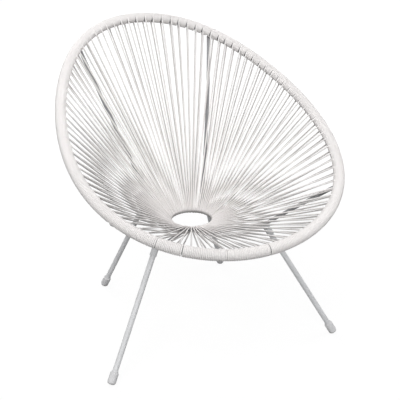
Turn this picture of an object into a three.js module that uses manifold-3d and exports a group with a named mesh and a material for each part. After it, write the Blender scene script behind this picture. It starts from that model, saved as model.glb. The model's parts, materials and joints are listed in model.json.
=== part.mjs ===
// Round string chair for a patio: an egg-shaped steel hoop leaning back over a small level ring,
// four bent ribs from hoop to ring, a leg socket on each rib, four plug-in legs with foot caps,
// and one seat of cord strung to and fro between hoop and ring in sixteen lengths.
// Millimetres, +Z up, the front of the chair faces -Y, the origin is on the floor under its middle.

import * as THREE from 'three';
import { mergeVertices } from 'three/addons/utils/BufferGeometryUtils.js';
import Module from 'manifold-3d';

const wasm = await Module();
wasm.setup();

// Hoop
const hoopWidth = 720; // side to side, over the cord wound on it
const hoopLength = 934; // front to back along its slope, between tube centres
const hoopCentreHeight = 578;
const hoopSlopeDegrees = 22.5;
const hoopDip = 9.2; // how far front and back lie below the plane of the sides
const hoopSweep = 3.7; // a slight S along the sides
const hoopTubeDiameter = 20;
// how the half width grows towards the front: terms of the cosine of the angle round the hoop
const eggShares = [-0.195, 0.061, 0.0415];

// Ring at the bottom of the seat
const ringRadius = 64; // to the centre of its rod
const ringRodDiameter = 10;
const ringHeight = 290;
const ringForward = 15.2; // ahead of the middle of the hoop

// Cord
const cordDiameter = 4; // as it lies on the hoop and the ring
const strandDiameter = 3.6; // drawn thinner where it is strung
const cordCount = 16; // lengths of cord, side by side round the seat
const cordJoinGap = 0.3; // between two lengths

// Ribs
const ribDiameter = 10;
const ribWeldDegrees = 20; // from the hoop's underside towards the seat
const ribLap = 1; // past the point where it is welded
const ribEndLap = 3; // past the middle of the ring's rod
const backRibHoopShare = 0.0885; // of the way round the hoop from the top, before it is set
const frontRibHoopShare = 0.3594;
const ribInGapShare = 0.5; // where a rib then sits in its gap between two strands
const backRibDegrees = 34.8; // round the ring from the back
const frontRibDegrees = 134;
const backCornerReach = 122.5; // from the axis of the ring
const frontCornerReach = 186;
const backCornerBelowRing = 2;
const frontCornerAboveRing = 6;
const backBend = 50; // from the corner to where the bend starts
const frontBend = 45;
const backBowOut = 13; // of the rib's control point from mid-span
const backBowBack = 1;
const backBowUp = 22;
const frontBowUp = 3;

// Legs
const legDiameter = 14.5;
const legWall = 1.5;
const socketWall = 1.4;
const socketReach = 34; // from the rib's centre to the mouth
const legTopClear = 14; // from the rib's centre to the end of the leg
const backSocketShare = 0.825; // of the way down the rib
const frontSocketShare = 0.61;
const backFootSpread = 384.2; // between left and right, where the leg's axis meets the floor
const frontFootSpread = 640.2;
const backFootOffset = 219.2; // behind the middle of the hoop
const frontFootOffset = 269; // ahead of it

// Foot caps
const capDiameter = 22;
const capLength = 32;
const capEdgeRadius = 6.5;
const capShoulderRadius = 3;
const capCollarHeight = 3;
const capCollarWall = 1.2;
const capFloor = 8;
const soleCut = 1.5; // flattened where it stands

// Fits
const fitGap = 0.3; // between two pieces that touch or plug in
const floorBlock = 100; // a block that trims the soles

// Facets
const outerCorners = 4; // of the wound hoop's section, on its outer side
const innerCorners = 3; // of the wound ring's section, on the side of the hole
const ribSides = 8;
const ribSteps = 16;
const roundSides = 12;
const hoopStepsPerCord = 3;
const ringStepsPerCord = 2;
const capArcSteps = 3;
const hoopSamples = 720;

const hoopRadius = hoopTubeDiameter / 2;
const ringRod = ringRodDiameter / 2;
const woundHoop = hoopRadius + fitGap + cordDiameter;
const woundRing = ringRod + fitGap + cordDiameter;
const cordOnHoop = woundHoop - cordDiameter / 2;
const cordOnRing = woundRing - cordDiameter / 2;
const strandsPerCord = Math.floor(
  (2 * Math.PI * (ringRadius - cordOnRing)) / (cordCount * strandDiameter)
);
const stationCount = cordCount * strandsPerCord;
const joinShare = 1 / (2 * stationCount); // two lengths of cord meet midway between two strands
const slope = THREE.MathUtils.degToRad(hoopSlopeDegrees);
const upSlope = new THREE.Vector3(0, Math.cos(slope), Math.sin(slope));
const hoopNormal = new THREE.Vector3(0, -Math.sin(slope), Math.cos(slope));

// Half width of the egg at an angle from its top, before it is scaled to the hoop's width
function eggHalfWidth(angle) {
  const c = Math.cos(angle);
  const [first, second, third] = eggShares;
  return Math.sin(angle) * (1 + first * c + second * c ** 2 + third * c ** 3);
}

let widestEgg = 0;
for (let i = 0; i <= hoopSamples; i += 1) {
  widestEgg = Math.max(widestEgg, eggHalfWidth((Math.PI * i) / hoopSamples));
}

// Centre line of the hoop, from the top clockwise as the sitter sees it
class HoopCurve extends THREE.Curve {
  constructor(centreY) {
    super();
    this.arcLengthDivisions = hoopSamples;
    this.centre = new THREE.Vector3(0, centreY, hoopCentreHeight);
  }

  getPoint(t, target = new THREE.Vector3()) {
    const angle = 2 * Math.PI * t;
    const c = Math.cos(angle);
    const across = ((hoopWidth / 2 - woundHoop) * eggHalfWidth(angle)) / widestEgg;
    const lift = -hoopDip * c ** 2 - hoopSweep * (c ** 3 - c);
    return target
      .copy(this.centre)
      .addScaledVector(upSlope, (hoopLength / 2) * c)
      .addScaledVector(hoopNormal, lift)
      .setX(across);
  }
}

// The hoop is set so that the whole chair is centred over the origin, front to back
const hoopSpan = new THREE.Box3().setFromPoints(new HoopCurve(0).getPoints(hoopSamples));
const hoopY = -(hoopSpan.min.y + hoopSpan.max.y) / 2;
const hoop = new HoopCurve(hoopY);
const hoopPerimeter = hoop.getLength();
const ringCentre = new THREE.Vector3(0, hoopY - ringForward, ringHeight);

function onRing(angle, radius = ringRadius) {
  return new THREE.Vector3(Math.sin(angle), Math.cos(angle), 0).multiplyScalar(radius).add(ringCentre);
}

function wrap(share) {
  return share - Math.floor(share);
}

// The seat at a share of the way round: where a strand starts on the hoop and ends at the ring,
// with the directions that both wound sections are drawn in. Lift points up out of the seat,
// inward runs down the seat.
function seatFrame(share) {
  const u = wrap(share);
  const angle = 2 * Math.PI * share;
  const onHoop = hoop.getPointAt(u);
  const tangent = hoop.getTangentAt(u);
  const atRing = onRing(angle);
  const along = atRing.clone().sub(onHoop).normalize();
  const lift = tangent.clone().cross(along).normalize();
  lift.multiplyScalar(Math.sign(lift.z));
  const inward = tangent.clone().cross(lift).normalize();
  const ringTangent = new THREE.Vector3(Math.cos(angle), -Math.sin(angle), 0);
  const ringLift = lift.clone().addScaledVector(ringTangent, -lift.dot(ringTangent)).normalize();
  const ringInward = ringTangent.clone().cross(ringLift).normalize();
  return { onHoop, lift, inward, atRing, ringLift, ringInward };
}

// Angles of a wound section's corners, in degrees from lift towards inward. On each section the
// facets between a strand's two corners are as deep as the strand, and face along it.
function facetDegrees(cordCentre, woundRadius) {
  const halfStrand = strandDiameter / 2;
  return [cordCentre + halfStrand, cordCentre - halfStrand].map((depth) =>
    THREE.MathUtils.radToDeg(Math.acos(Math.min(depth / woundRadius, 1)))
  );
}

function spreadDegrees(from, to, count) {
  return Array.from({ length: count }, (_, i) => from + ((to - from) * (i + 1)) / (count + 1));
}

const halfTurn = 180;
const fullTurn = 360;
const [hoopNear, hoopFar] = facetDegrees(cordOnHoop, woundHoop);
const [ringNear, ringFar] = facetDegrees(cordOnRing, woundRing);
const hoopCorners = [
  hoopNear,
  hoopFar,
  ...spreadDegrees(hoopFar, halfTurn - hoopFar, 1),
  halfTurn - hoopFar,
  halfTurn - hoopNear,
  ...spreadDegrees(halfTurn - hoopNear, fullTurn + hoopNear, outerCorners),
];
const ringCorners = [
  -ringFar,
  -ringNear,
  ...spreadDegrees(-ringNear, halfTurn + ringNear, innerCorners),
  halfTurn + ringNear,
  halfTurn + ringFar,
];
const hoopFacets = { upper: 0, lower: 3 };
const ringFacets = { upper: 0, lower: ringCorners.length - 2 };

// A turn of cord climbs one cord diameter as it goes round the hoop: none of it where the strand
// above the seat leaves, all of it where the strand below the seat does.
function turnSlant(degrees) {
  if (degrees <= hoopFar) {
    return 0;
  }
  if (degrees < halfTurn - hoopFar) {
    return (degrees - hoopFar) / (halfTurn - 2 * hoopFar);
  }
  if (degrees <= halfTurn - hoopNear) {
    return 1;
  }
  return (fullTurn + hoopNear - degrees) / (halfTurn + 2 * hoopNear);
}

function around(centre, first, second, radius, degrees) {
  const a = THREE.MathUtils.degToRad(degrees);
  return centre
    .clone()
    .addScaledVector(first, radius * Math.cos(a))
    .addScaledVector(second, radius * Math.sin(a));
}

function hoopSection(share, radius, slanted = false) {
  return hoopCorners.map((degrees) => {
    const slant = slanted ? (turnSlant(degrees) * cordDiameter) / hoopPerimeter : 0;
    const { onHoop, lift, inward } = seatFrame(share - slant);
    return around(onHoop, lift, inward, radius, degrees);
  });
}

function ringSection(share, radius) {
  const { atRing, ringLift, ringInward } = seatFrame(share);
  return ringCorners.map((degrees) => around(atRing, ringLift, ringInward, radius, degrees));
}

// Points and faces of one closed skin, put together from rows of sections
class Skin {
  constructor() {
    this.points = [];
    this.index = [];
  }

  addRows(rows) {
    return rows.map((row) => {
      const start = this.points.length;
      this.points.push(...row);
      return row.map((point, i) => start + i);
    });
  }

  quad(a, b, c, d) {
    this.index.push(a, b, c, a, c, d);
  }

  // Faces between neighbouring rows, turned out or in, without the ones that open() names
  wall(rows, { inside = false, closed = false, open = () => false } = {}) {
    const spans = closed ? rows.length : rows.length - 1;
    for (let r = 0; r < spans; r += 1) {
      const row = rows[r];
      const next = rows[(r + 1) % rows.length];
      row.forEach((corner, i) => {
        const j = (i + 1) % row.length;
        if (open(r, i)) {
          return;
        }
        if (inside) {
          this.quad(corner, next[i], next[j], row[j]);
        } else {
          this.quad(corner, row[j], next[j], next[i]);
        }
      });
    }
  }

  // Flat rim between the outer and inner rows at the start or the end of a pipe
  lip(outer, inner, atEnd) {
    outer.forEach((corner, i) => {
      const j = (i + 1) % outer.length;
      if (atEnd) {
        this.quad(corner, outer[j], inner[j], inner[i]);
      } else {
        this.quad(corner, inner[i], inner[j], outer[j]);
      }
    });
  }

  geometry() {
    const geometry = new THREE.BufferGeometry().setFromPoints(this.points);
    geometry.setIndex(this.index);
    return geometry;
  }
}

// Volume inside a closed skin, negative where its faces point inwards
function signedVolume(geometry) {
  const place = geometry.getAttribute('position');
  const index = geometry.getIndex();
  const [a, b, c] = [new THREE.Vector3(), new THREE.Vector3(), new THREE.Vector3()];
  let sum = 0;
  for (let i = 0; i < index.count; i += 3) {
    a.fromBufferAttribute(place, index.getX(i));
    b.fromBufferAttribute(place, index.getX(i + 1));
    c.fromBufferAttribute(place, index.getX(i + 2));
    sum += a.dot(b.cross(c));
  }
  return sum / 6;
}

// A closed skin with shared corners and its faces turned outwards
function closedSkin(geometry) {
  const bare = geometry.clone();
  bare.deleteAttribute('normal');
  bare.deleteAttribute('uv');
  const skin = mergeVertices(bare);
  if (signedVolume(skin) < 0) {
    skin.getIndex().array.reverse();
  }
  return skin;
}

function toSolid(geometry) {
  const skin = closedSkin(geometry);
  return new wasm.Manifold(
    new wasm.Mesh({
      numProp: 3,
      vertProperties: new Float32Array(skin.getAttribute('position').array),
      triVerts: new Uint32Array(skin.getIndex().array),
    })
  );
}

function toGeometry(solid) {
  const mesh = solid.getMesh();
  const geometry = new THREE.BufferGeometry();
  geometry.setAttribute('position', new THREE.BufferAttribute(mesh.vertProperties, 3));
  geometry.setIndex(new THREE.BufferAttribute(mesh.triVerts, 1));
  return geometry;
}

// Rods and tubes

function closedBar(section, stepsPerCord, radius) {
  const rows = [];
  const steps = cordCount * stepsPerCord;
  for (let i = 0; i < steps; i += 1) {
    rows.push(section(i / steps - joinShare, radius));
  }
  const skin = new Skin();
  skin.wall(skin.addRows(rows), { closed: true });
  return skin.geometry();
}

// One length of cord: wound on its stretch of hoop and ring, and strung between them.
// Each turn comes up over the hoop, crosses to the ring above the seat, goes round the ring,
// comes back below the seat, and meets the hoop one cord beside the next strand.
// The strands are drawn four-sided, each from its facet of the hoop's winding to the ring's.
function cordLength(number) {
  const first = number * strandsPerCord;
  const from = first / stationCount - joinShare;
  const to = from + 1 / cordCount;
  const hoopTrim = cordJoinGap / 2 / hoopPerimeter;
  const ringTrim = cordJoinGap / 2 / (2 * Math.PI * (ringRadius - woundRing));
  const skin = new Skin();

  const pipe = (section, radius, bore, halfStrand, trim, steps, facets) => {
    const outerShares = [from + trim];
    for (let k = first; k < first + strandsPerCord; k += 1) {
      outerShares.push(k / stationCount - halfStrand, k / stationCount + halfStrand);
    }
    outerShares.push(to - trim);
    const last = outerShares.length - 1;
    const outer = skin.addRows(
      outerShares.map((share, i) => section(share, radius, i > 0 && i < last))
    );
    const innerShares = [];
    for (let i = 0; i <= steps; i += 1) {
      innerShares.push(from + (to - from) * (i / steps));
    }
    innerShares[0] += trim;
    innerShares[steps] -= trim;
    const inner = skin.addRows(innerShares.map((share) => section(share, bore)));
    const open = (r, i) => r % 2 === 1 && (i === facets.upper || i === facets.lower);
    skin.wall(outer, { open });
    skin.wall(inner, { inside: true });
    skin.lip(outer[0], inner[0], false);
    skin.lip(outer[last], inner[steps], true);
    return outer;
  };

  const halfStrand = strandDiameter / 2;
  const onHoop = pipe(
    hoopSection,
    woundHoop,
    hoopRadius + fitGap,
    halfStrand / hoopPerimeter,
    hoopTrim,
    hoopStepsPerCord,
    hoopFacets
  );
  const onRod = pipe(
    ringSection,
    woundRing,
    ringRod + fitGap,
    halfStrand / (2 * Math.PI * ringRadius),
    ringTrim,
    ringStepsPerCord,
    ringFacets
  );
  for (let k = 0; k < strandsPerCord; k += 1) {
    ['upper', 'lower'].forEach((layer) => {
      const row = 2 * k + 1;
      const i = hoopFacets[layer];
      const j = ringFacets[layer];
      const top = [onHoop[row][i], onHoop[row][i + 1], onHoop[row + 1][i + 1], onHoop[row + 1][i]];
      const low = [onRod[row][j + 1], onRod[row][j], onRod[row + 1][j], onRod[row + 1][j + 1]];
      top.forEach((corner, side) => {
        const next = (side + 1) % top.length;
        skin.quad(corner, top[next], low[next], low[side]);
      });
    });
  }
  return skin.geometry();
}

// Centre line of a rib: from its weld under the hoop, bowed down to a bend, then in under the ring
function ribPath(side, pair) {
  const gap = Math.floor(pair.hoopShare * stationCount);
  const share = (side * (gap + ribInGapShare)) / stationCount;
  const angle = side * pair.angle;
  const { onHoop, lift, inward } = seatFrame(share);
  const weld = THREE.MathUtils.degToRad(ribWeldDegrees);
  const toWeld = inward.multiplyScalar(Math.sin(weld)).addScaledVector(lift, -Math.cos(weld));
  const top = onHoop.addScaledVector(toWeld, hoopRadius + fitGap + ribDiameter / 2);
  const corner = onRing(angle, pair.cornerReach).setZ(pair.cornerHeight);
  const seat = onRing(angle);
  seat.z -= ringRod + fitGap + ribDiameter / 2;
  const bow = pair.bow.clone().setX(side * pair.bow.x);
  const middle = top.clone().add(corner).multiplyScalar(0.5).add(bow);
  const toward = (from, to, length) => to.clone().sub(from).setLength(length).add(from);
  const bendStart = toward(corner, middle, pair.bend);
  const bendEnd = toward(corner, seat, Math.min(pair.bend, corner.distanceTo(seat) / 2));
  const path = new THREE.CurvePath();
  path.add(new THREE.LineCurve3(toward(top, middle, -ribLap), top));
  path.add(new THREE.QuadraticBezierCurve3(top, middle, bendStart));
  path.add(new THREE.QuadraticBezierCurve3(bendStart, corner, bendEnd));
  path.add(new THREE.LineCurve3(bendEnd, toward(seat, corner, -ribEndLap)));
  return path;
}

function ribBar(path, radius) {
  const section = new THREE.Shape().absarc(0, 0, radius, 0, 2 * Math.PI);
  return new THREE.ExtrudeGeometry(section, {
    steps: ribSteps,
    extrudePath: path,
    bevelEnabled: false,
    curveSegments: ribSides / 2,
  });
}

// Turned pieces, drawn up the Y axis and laid along a line from base
function turned(profile, base, direction) {
  const points = profile.map(([radius, height]) => new THREE.Vector2(radius, height));
  const geometry = new THREE.LatheGeometry(points, roundSides);
  const turn = new THREE.Quaternion().setFromUnitVectors(new THREE.Vector3(0, 1, 0), direction);
  return geometry.applyQuaternion(turn).translate(base.x, base.y, base.z);
}

function pipeProfile(inner, outer, length) {
  return [
    [inner, 0],
    [outer, 0],
    [outer, length],
    [inner, length],
    [inner, 0],
  ];
}

const legRadius = legDiameter / 2;
const boreRadius = legRadius + fitGap;
const capRadius = capDiameter / 2;

function arcPoints(centreRadius, centreHeight, radius, fromDegrees, toDegrees) {
  const points = [];
  for (let i = 0; i <= capArcSteps; i += 1) {
    const a = THREE.MathUtils.degToRad(fromDegrees + ((toDegrees - fromDegrees) * i) / capArcSteps);
    points.push([centreRadius + radius * Math.cos(a), centreHeight + radius * Math.sin(a)]);
  }
  return points;
}

// Foot cap, from its sole up: rounded edge, straight body, round shoulder, thin collar and blind bore
function capProfile() {
  const shoulder = capLength - capShoulderRadius;
  return [
    [0, 0],
    ...arcPoints(capRadius - capEdgeRadius, capEdgeRadius, capEdgeRadius, -90, 0),
    ...arcPoints(capRadius - capShoulderRadius, shoulder, capShoulderRadius, 0, 90),
    [boreRadius + capCollarWall, capLength],
    [boreRadius + capCollarWall / 2, capLength + capCollarHeight],
    [boreRadius, capLength + capCollarHeight],
    [boreRadius, capFloor],
    [0, capFloor],
  ];
}

// Materials
const cordMaterial = new THREE.MeshStandardMaterial({ color: 0xe9e6e2, roughness: 0.5, metalness: 0 });
const steelMaterial = new THREE.MeshStandardMaterial({ color: 0xd2d2d4, roughness: 0.4, metalness: 0 });
const capMaterial = new THREE.MeshStandardMaterial({ color: 0xd4d4d6, roughness: 0.6, metalness: 0 });

function piece(name, geometry, material) {
  const mesh = new THREE.Mesh(closedSkin(geometry), material);
  mesh.name = name;
  return mesh;
}

const backPair = {
  name: 'back',
  hoopShare: backRibHoopShare,
  angle: THREE.MathUtils.degToRad(backRibDegrees),
  cornerReach: backCornerReach,
  cornerHeight: ringHeight - backCornerBelowRing,
  bend: backBend,
  bow: new THREE.Vector3(backBowOut, backBowBack, backBowUp),
  socketShare: backSocketShare,
  foot: new THREE.Vector3(backFootSpread / 2, hoopY + backFootOffset, 0),
};

const frontPair = {
  name: 'front',
  hoopShare: frontRibHoopShare,
  angle: THREE.MathUtils.degToRad(frontRibDegrees),
  cornerReach: frontCornerReach,
  cornerHeight: ringHeight + frontCornerAboveRing,
  bend: frontBend,
  bow: new THREE.Vector3(0, 0, frontBowUp),
  socketShare: frontSocketShare,
  foot: new THREE.Vector3(frontFootSpread / 2, hoopY - frontFootOffset, 0),
};

const hoopCope = toSolid(closedBar(hoopSection, hoopStepsPerCord, hoopRadius + fitGap));
const ringCope = toSolid(closedBar(ringSection, ringStepsPerCord, ringRod + fitGap));
const floor = new THREE.BoxGeometry(floorBlock, floorBlock, floorBlock);

// Rib, socket, leg and foot cap of one corner of the chair
function corner(pair, side) {
  const name = `${pair.name}_${side > 0 ? 'right' : 'left'}`;
  const path = ribPath(side, pair);
  const rib = toSolid(ribBar(path, ribDiameter / 2)).subtract(hoopCope).subtract(ringCope);
  const ribRoom = toSolid(ribBar(path, ribDiameter / 2 + fitGap));

  const joint = path.getPointAt(pair.socketShare);
  const foot = pair.foot.clone().setX(side * pair.foot.x);
  const down = foot.clone().sub(joint).normalize();
  const up = down.clone().negate();
  const tilt = Math.acos(up.z);
  const soleHeight =
    (capRadius - capEdgeRadius) * Math.sin(tilt) + capEdgeRadius * (1 - Math.cos(tilt)) - soleCut;
  const capBase = foot.clone().addScaledVector(up, soleHeight / up.z);
  const legTop = joint.clone().addScaledVector(down, legTopClear);
  const legEnd = capBase.clone().addScaledVector(up, capFloor + fitGap);

  const socketProfile = pipeProfile(boreRadius, boreRadius + socketWall, socketReach);
  const socket = toSolid(turned(socketProfile, joint, down)).subtract(ribRoom);
  const legProfile = pipeProfile(legRadius - legWall, legRadius, legEnd.distanceTo(legTop));
  const ground = toSolid(floor.clone().translate(foot.x, foot.y, -floorBlock / 2));
  const cap = toSolid(turned(capProfile(), capBase, up)).subtract(ground);

  const group = new THREE.Group();
  group.add(piece(`rib_${name}`, toGeometry(rib), steelMaterial));
  group.add(piece(`socket_${name}`, toGeometry(socket), steelMaterial));
  group.add(piece(`leg_${name}`, turned(legProfile, legEnd, up), steelMaterial));
  group.add(piece(`foot_cap_${name}`, toGeometry(cap), capMaterial));
  return { group, ribRoom };
}

function buildChair() {
  const chair = new THREE.Group();
  const corners = [backPair, frontPair].flatMap((pair) => [-1, 1].map((side) => corner(pair, side)));
  corners.forEach(({ group }) => chair.add(group));

  const frame = new THREE.Group();
  const hoopTube = closedBar(hoopSection, hoopStepsPerCord, hoopRadius);
  const rod = closedBar(ringSection, ringStepsPerCord, ringRod);
  frame.add(piece('hoop_tube', hoopTube, steelMaterial));
  frame.add(piece('ring_rod', rod, steelMaterial));
  chair.add(frame);

  const seat = new THREE.Group();
  for (let number = 0; number < cordCount; number += 1) {
    const name = `seat_cord_${String(number + 1).padStart(2, '0')}`;
    const strung = toSolid(cordLength(number));
    const cord = corners.reduce((rest, { ribRoom }) => rest.subtract(ribRoom), strung);
    seat.add(piece(name, toGeometry(cord), cordMaterial));
  }
  chair.add(seat);
  return chair;
}

export default buildChair();
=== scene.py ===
"""Looks of a string patio chair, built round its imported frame.

Sizes are in metres, +Z is up and the front of the chair faces -Y. Left and right are as seen from
the front. A share is a part of the way round the hoop, from its top and clockwise from the front.
"""

import json
import logging
import math
from dataclasses import dataclass, field
from enum import Enum
from typing import NamedTuple

import bpy
import numpy as np
from mathutils import Matrix, Vector

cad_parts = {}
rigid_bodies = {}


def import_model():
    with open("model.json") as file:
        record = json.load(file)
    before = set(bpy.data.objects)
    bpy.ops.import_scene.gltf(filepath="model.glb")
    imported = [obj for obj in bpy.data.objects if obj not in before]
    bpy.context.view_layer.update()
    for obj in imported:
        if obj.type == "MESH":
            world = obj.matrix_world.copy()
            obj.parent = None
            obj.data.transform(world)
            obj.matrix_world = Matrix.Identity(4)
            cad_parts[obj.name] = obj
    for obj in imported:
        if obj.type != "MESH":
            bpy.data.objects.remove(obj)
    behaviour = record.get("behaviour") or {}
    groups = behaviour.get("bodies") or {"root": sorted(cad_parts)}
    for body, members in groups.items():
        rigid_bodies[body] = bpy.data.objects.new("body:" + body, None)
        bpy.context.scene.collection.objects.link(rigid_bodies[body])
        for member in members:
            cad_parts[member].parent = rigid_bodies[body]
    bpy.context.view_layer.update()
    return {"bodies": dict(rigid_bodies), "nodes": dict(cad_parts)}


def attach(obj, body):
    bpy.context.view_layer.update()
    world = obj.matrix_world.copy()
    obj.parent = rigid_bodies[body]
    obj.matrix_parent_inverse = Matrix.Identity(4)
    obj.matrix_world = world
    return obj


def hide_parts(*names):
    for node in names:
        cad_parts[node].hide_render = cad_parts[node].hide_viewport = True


LOG = logging.getLogger("string_chair")
STATIONS = 96
TURN = 2 * math.pi
Array = np.ndarray
Triple = tuple[float, float, float]
Socket = bpy.types.NodeSocket
Value = Socket | float | Triple


class Side(Enum):
    """Left and right of the chair, by the sign of X."""

    LEFT = -1
    RIGHT = 1


class Slot(Enum):
    """Material slots of the record."""

    PAINT = "frame_paint"
    CORD = "cord"
    FOOT = "foot_plastic"


# Vectors


def unit(vectors: Array) -> Array:
    """Scales vectors to length one, along the last axis."""
    return vectors / np.linalg.norm(vectors, axis=-1, keepdims=True)


def dot(first: Array, second: Array) -> Array:
    """Dot product along the last axis, which is kept."""
    return np.sum(first * second, axis=-1, keepdims=True)


def square_to(vectors: Array, axis: Array) -> Array:
    """Takes out of the vectors what lies along axis, and scales the rest to length one."""
    return unit(vectors - axis * dot(vectors, axis))


def mix(first: Array, second: Array, share: Array) -> Array:
    """Straight blend from first, at share 0, to second, at share 1."""
    return first + (second - first) * share


def smooth(share: Array) -> Array:
    """Soft step: three times the share squared less twice its cube."""
    return share**2 * (3 - 2 * share)


def ray(angle: Array, first: Array, second: Array) -> Array:
    """Cosine of the angle times first plus its sine times second."""
    return np.cos(angle)[..., None] * first + np.sin(angle)[..., None] * second


def full_turn(count: int) -> Array:
    """Angles spread evenly over a whole turn, starting at 0."""
    return TURN * np.arange(count) / count


def wrapped(values: Array, period: float) -> Array:
    """Takes whole periods off, so that the values lie within half a period of 0."""
    return (values + period / 2) % period - period / 2


def path_length(points: Array) -> Array:
    """Distance along a path at each of its points."""
    return np.append(0.0, np.cumsum(np.linalg.norm(np.diff(points, axis=0), axis=1)))


def bend(start: Array, corner: Array, end: Array, count: int) -> Array:
    """Rounded corner: a quadratic curve that leaves start towards corner and comes in to end from it."""
    t = np.linspace(0, 1, count)[:, None]
    return start * (1 - t) ** 2 + corner * 2 * t * (1 - t) + end * t**2


def arc(centre: tuple[float, float], radius: float, start: float, count: int) -> Array:
    """Quarter of a round in a profile: centre plus radius times cosine and sine, from the start angle."""
    angle = np.linspace(start, start + math.pi / 2, count)
    return np.array(centre) + radius * np.stack([np.cos(angle), np.sin(angle)], axis=-1)


def sweep(centres: Array, normals: Array, high: Array, wide: Array, sides: int) -> Array:
    """Carries an oval along a path.

    A point of the oval lies cos(angle) times high along the normal and sin(angle) times wide
    across it, square to the path.

    Args:
        centres: Points of the path, with the shape (n, 3).
        normals: Direction that the oval's height follows: one, or one at each point.
        high: Half height at each point.
        wide: Half width at each point.
        sides: Points round the oval.

    Returns:
        Points with the shape (n, sides, 3).
    """
    tangent = unit(np.gradient(centres, axis=0))
    normal = square_to(normals, tangent)
    height = high[:, None] * normal
    width = wide[:, None] * np.cross(tangent, normal)
    return centres[:, None] + ray(full_turn(sides), height[:, None], width[:, None])


def turned(profile: Array, base: Array, axis: Array, sides: int) -> Array:
    """Turns a profile about an axis: each point goes round at its radius and stays at its height.

    Args:
        profile: Radius and height of each point, with the shape (n, 2).
        base: Where height 0 lies on the axis.
        axis: Direction in which height grows, of length one.
        sides: Points round the axis.

    Returns:
        Points with the shape (n, sides, 3).
    """
    first = square_to(np.array([1.0, 0.0, 0.0]), axis)
    around = ray(full_turn(sides), first, np.cross(axis, first))
    return base + profile[:, :1, None] * around + profile[:, 1:, None] * axis


# Meshes


def grid_mesh(name: str, grid: Array, rows_closed: bool = False,
              along: Array | None = None) -> bpy.types.Object:
    """Makes a closed skin over a grid of points that is closed round its columns.

    Neighbouring rows are joined by four-sided faces. Where the rows don't close on each other,
    a fan round a middle point closes each end.

    Args:
        name: Name of the piece.
        grid: Points with the shape (rows, columns, 3), columns turning left about the way the rows go.
        rows_closed: Whether the last row joins the first.
        along: The texture's first coordinate at each row, where it isn't the row's number.

    Returns:
        The new object, smooth shaded.
    """
    rows, columns = grid.shape[:2]
    along = np.arange(rows, dtype=float) if along is None else along
    u = np.append(along, 2 * along[-1] - along[-2])
    row, column = np.mgrid[:rows if rows_closed else rows - 1, :columns]
    corner_row = np.stack([row, row, row + 1, row + 1], axis=-1).reshape(-1, 4)
    corner_column = np.stack([column, column + 1, column + 1, column], axis=-1).reshape(-1, 4)
    faces = (corner_row % rows * columns + corner_column % columns).tolist()
    uv = np.stack([u[corner_row], corner_column / columns], axis=-1).reshape(-1, 2)
    points = grid.reshape(-1, 3)
    if not rows_closed:
        here = np.arange(columns)
        after = (here + 1) % columns
        middle = np.full(columns, len(points))
        last = (rows - 1) * columns
        fans = np.array([[middle, after, here], [middle + 1, last + here, last + after]])
        faces += fans.swapaxes(1, 2).reshape(-1, 3).tolist()
        fan_u = np.repeat(along[[0, -1]], 3 * columns)
        fan_v = np.tile(np.stack([after, here, here], axis=-1).reshape(-1) / columns, 2)
        uv = np.concatenate([uv, np.stack([fan_u, fan_v], axis=-1)])
        points = np.concatenate([points, grid[[0, -1]].mean(axis=1)])
    mesh = bpy.data.meshes.new(name)
    mesh.from_pydata(points.tolist(), [], faces)
    mesh.uv_layers.new(name="along_and_round").data.foreach_set("uv", uv.astype(np.float32).reshape(-1))
    mesh.polygons.foreach_set("use_smooth", np.ones(len(faces), dtype=bool))
    mesh.update()
    piece = bpy.data.objects.new(name, mesh)
    bpy.context.scene.collection.objects.link(piece)
    return piece


def joined(name: str, parts: list[bpy.types.Object]) -> bpy.types.Object:
    """Puts several meshes into one piece.

    Args:
        name: Name of the piece.
        parts: Objects whose meshes are used up.

    Returns:
        The one object that is left.
    """
    with bpy.context.temp_override(active_object=parts[0], object=parts[0], selected_objects=parts,
                                   selected_editable_objects=parts):
        bpy.ops.object.join()
    parts[0].name = name
    parts[0].data.name = name
    return parts[0]


def coat(piece: bpy.types.Object, finish: bpy.types.Material) -> None:
    """Gives a piece one material."""
    piece.data.materials.clear()
    piece.data.materials.append(finish)


def dress(piece: bpy.types.Object, finish: bpy.types.Material, body: str, node: str) -> None:
    """Gives a new piece its finish and its place in the frame.

    Args:
        piece: The piece.
        finish: Its material.
        body: Body that it rides.
        node: The solid that it stands for.
    """
    coat(piece, finish)
    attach(piece, body)
    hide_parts(node)
    LOG.info("%s stands for %s, %d faces", piece.name, node, len(piece.data.polygons))


# Where things lie


class Seating(NamedTuple):
    """Places and directions at a share of the way round the seat, each with the shape (..., 3).

    Lift points up out of the seat and inward runs down it, both square to the hoop. The ring's
    own two directions are square to the ring.
    """

    on_hoop: Array
    lift: Array
    inward: Array
    at_ring: Array
    ring_lift: Array
    ring_inward: Array


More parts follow.
